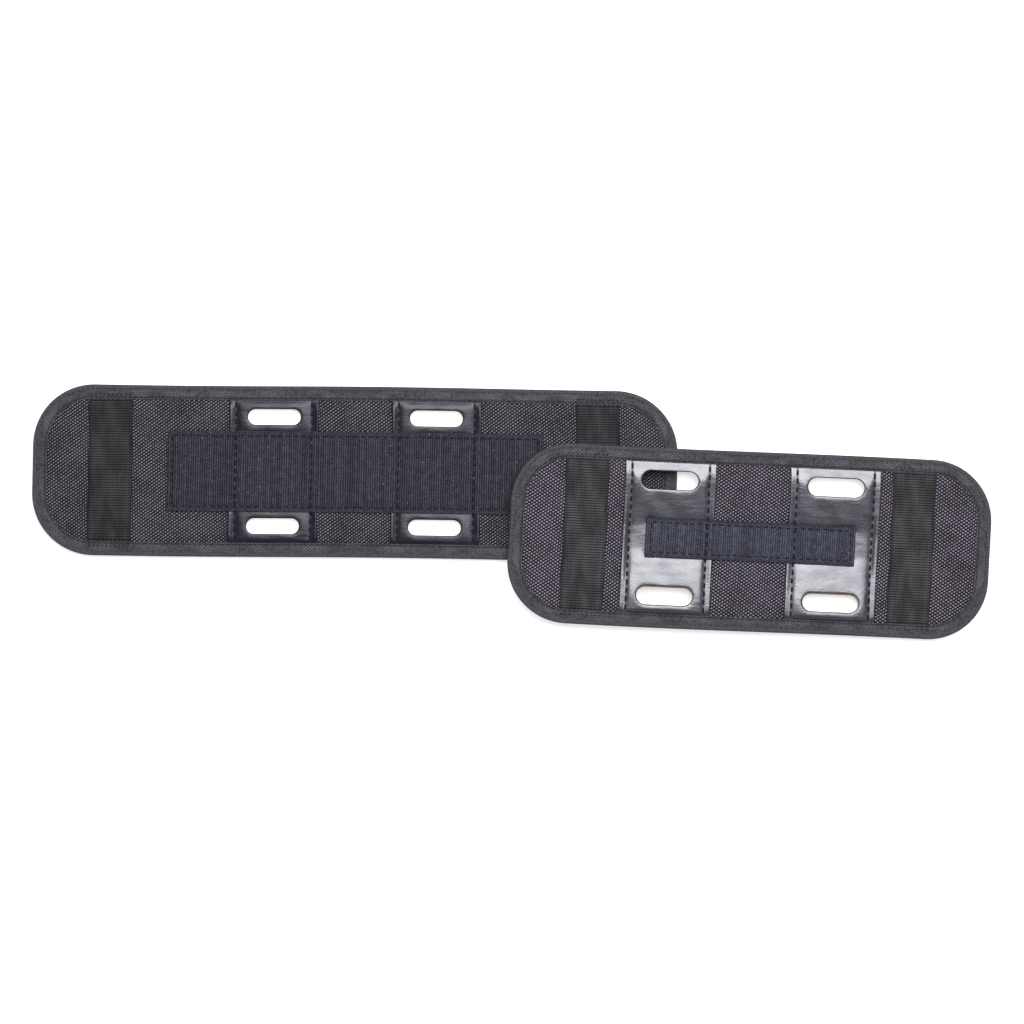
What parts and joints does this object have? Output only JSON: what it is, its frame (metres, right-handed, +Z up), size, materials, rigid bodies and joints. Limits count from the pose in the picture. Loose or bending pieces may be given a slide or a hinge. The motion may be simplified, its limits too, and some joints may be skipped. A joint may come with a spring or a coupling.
{
  "type": "hand grip pad pair",
  "caption": "Flat bound sewn pads with slotted leather patches, hook-and-loop strips and elastic end bands; the short pad lies over the long pad's end.",
  "frame": {"origin": "centre of the long pad's back face, on the table it rests on", "axes": "+X along the long pad towards the short one, +Y across the pads away from the short one, +Z up, out of the pads' fronts"},
  "size_m": [0.5699, 0.1459, 0.0146],
  "materials": {
    "binding_tape": "matte grosgrain tape",
    "woven_nylon": "coarse woven nylon",
    "foam": "matte closed-cell foam",
    "leather": "glossy",
    "loop_tape": "matte loop pile",
    "elastic": "ribbed woven elastic",
    "thread": "waxed thread"
  },
  "bodies": {
    "long_pad": {"long_binding": "binding_tape", "long_binding_stitches": "thread", "long_front_fabric": "woven_nylon", "long_back_middle": "woven_nylon", "long_foam_middle": "foam", "long_patch_left": "leather", "long_patch_right": "leather", "long_patch_stitches": "thread", "long_loop_strip": "loop_tape", "long_strip_stitches": "thread"},
    "long_left_wing": {"long_foam_left": "foam", "long_back_left": "woven_nylon", "long_tacks_left": "thread"},
    "long_left_band": {"long_band_left": "elastic"},
    "long_right_wing": {"long_foam_right": "foam", "long_back_right": "woven_nylon", "long_tacks_right": "thread"},
    "long_right_band": {"long_band_right": "elastic"},
    "short_pad": {"short_binding": "binding_tape", "short_binding_stitches": "thread", "short_front_fabric": "woven_nylon", "short_back_middle": "woven_nylon", "short_foam_middle": "foam", "short_patch_left": "leather", "short_patch_right": "leather", "short_patch_stitches": "thread", "short_loop_strip": "loop_tape", "short_strip_stitches": "thread"},
    "short_left_wing": {"short_foam_left": "foam", "short_back_left": "woven_nylon", "short_tacks_left": "thread"},
    "short_left_band": {"short_band_left": "elastic"},
    "short_right_wing": {"short_foam_right": "foam", "short_back_right": "woven_nylon", "short_tacks_right": "thread"},
    "short_right_band": {"short_band_right": "elastic"}
  },
  "joints": [
    {"name": "short_pad_lift", "type": "slide", "parent": "long_pad", "child": "short_pad", "axis": [0, 0, 1], "range_m": [0, 0.15]},
    {"name": "long_left_flex", "type": "hinge", "parent": "long_pad", "child": "long_left_wing", "pos_m": [-0.121, 0, 0.0028], "axis": [0, 1, 0], "range_deg": [0, 60], "stiffness_Nm_per_rad": 0.06, "deforming": ["long_binding", "long_binding_stitches", "long_front_fabric"]},
    {"name": "long_right_flex", "type": "hinge", "parent": "long_pad", "child": "long_right_wing", "pos_m": [0.121, 0, 0.0028], "axis": [0, -1, 0], "range_deg": [0, 45], "deforming": ["long_binding", "long_binding_stitches", "long_front_fabric"]},
    {"name": "short_left_flex", "type": "hinge", "parent": "short_pad", "child": "short_left_wing", "pos_m": [0.15547, -0.03533, 0.00983], "axis": [0.0349, 0.9994, 0], "range_deg": [0, 60], "stiffness_Nm_per_rad": 0.06, "deforming": ["short_binding", "short_binding_stitches", "short_front_fabric"]},
    {"name": "short_right_flex", "type": "hinge", "parent": "short_pad", "child": "short_right_wing", "pos_m": [0.3143, -0.04088, 0.00488], "axis": [-0.0349, -0.9994, 0], "range_deg": [0, 60], "stiffness_Nm_per_rad": 0.06, "deforming": ["short_binding", "short_binding_stitches", "short_front_fabric"]},
    {"name": "long_left_band_lift", "type": "slide", "parent": "long_left_wing", "child": "long_left_band", "axis": [0, 0, 1], "range_m": [0, 0.015], "stiffness_N_per_m": 200, "deforming": ["long_band_left"]},
    {"name": "long_right_band_lift", "type": "slide", "parent": "long_right_wing", "child": "long_right_band", "axis": [0, 0, 1], "range_m": [0, 0.015], "deforming": ["long_band_right"]},
    {"name": "short_left_band_lift", "type": "slide", "parent": "short_left_wing", "child": "short_left_band", "axis": [0.0311, -0.0011, 0.9995], "range_m": [0, 0.015], "stiffness_N_per_m": 200, "deforming": ["short_band_left"]},
    {"name": "short_right_band_lift", "type": "slide", "parent": "short_right_wing", "child": "short_right_band", "axis": [0.0311, -0.0011, 0.9995], "range_m": [0, 0.015], "stiffness_N_per_m": 200, "deforming": ["short_band_right"]}
  ],
  "couplings": [
    {"joint": "long_right_flex", "follows": "short_pad_lift", "rad_per_m": 5.2},
    {"joint": "long_right_band_lift", "follows": "short_pad_lift", "ratio": 0.099}
  ]
}
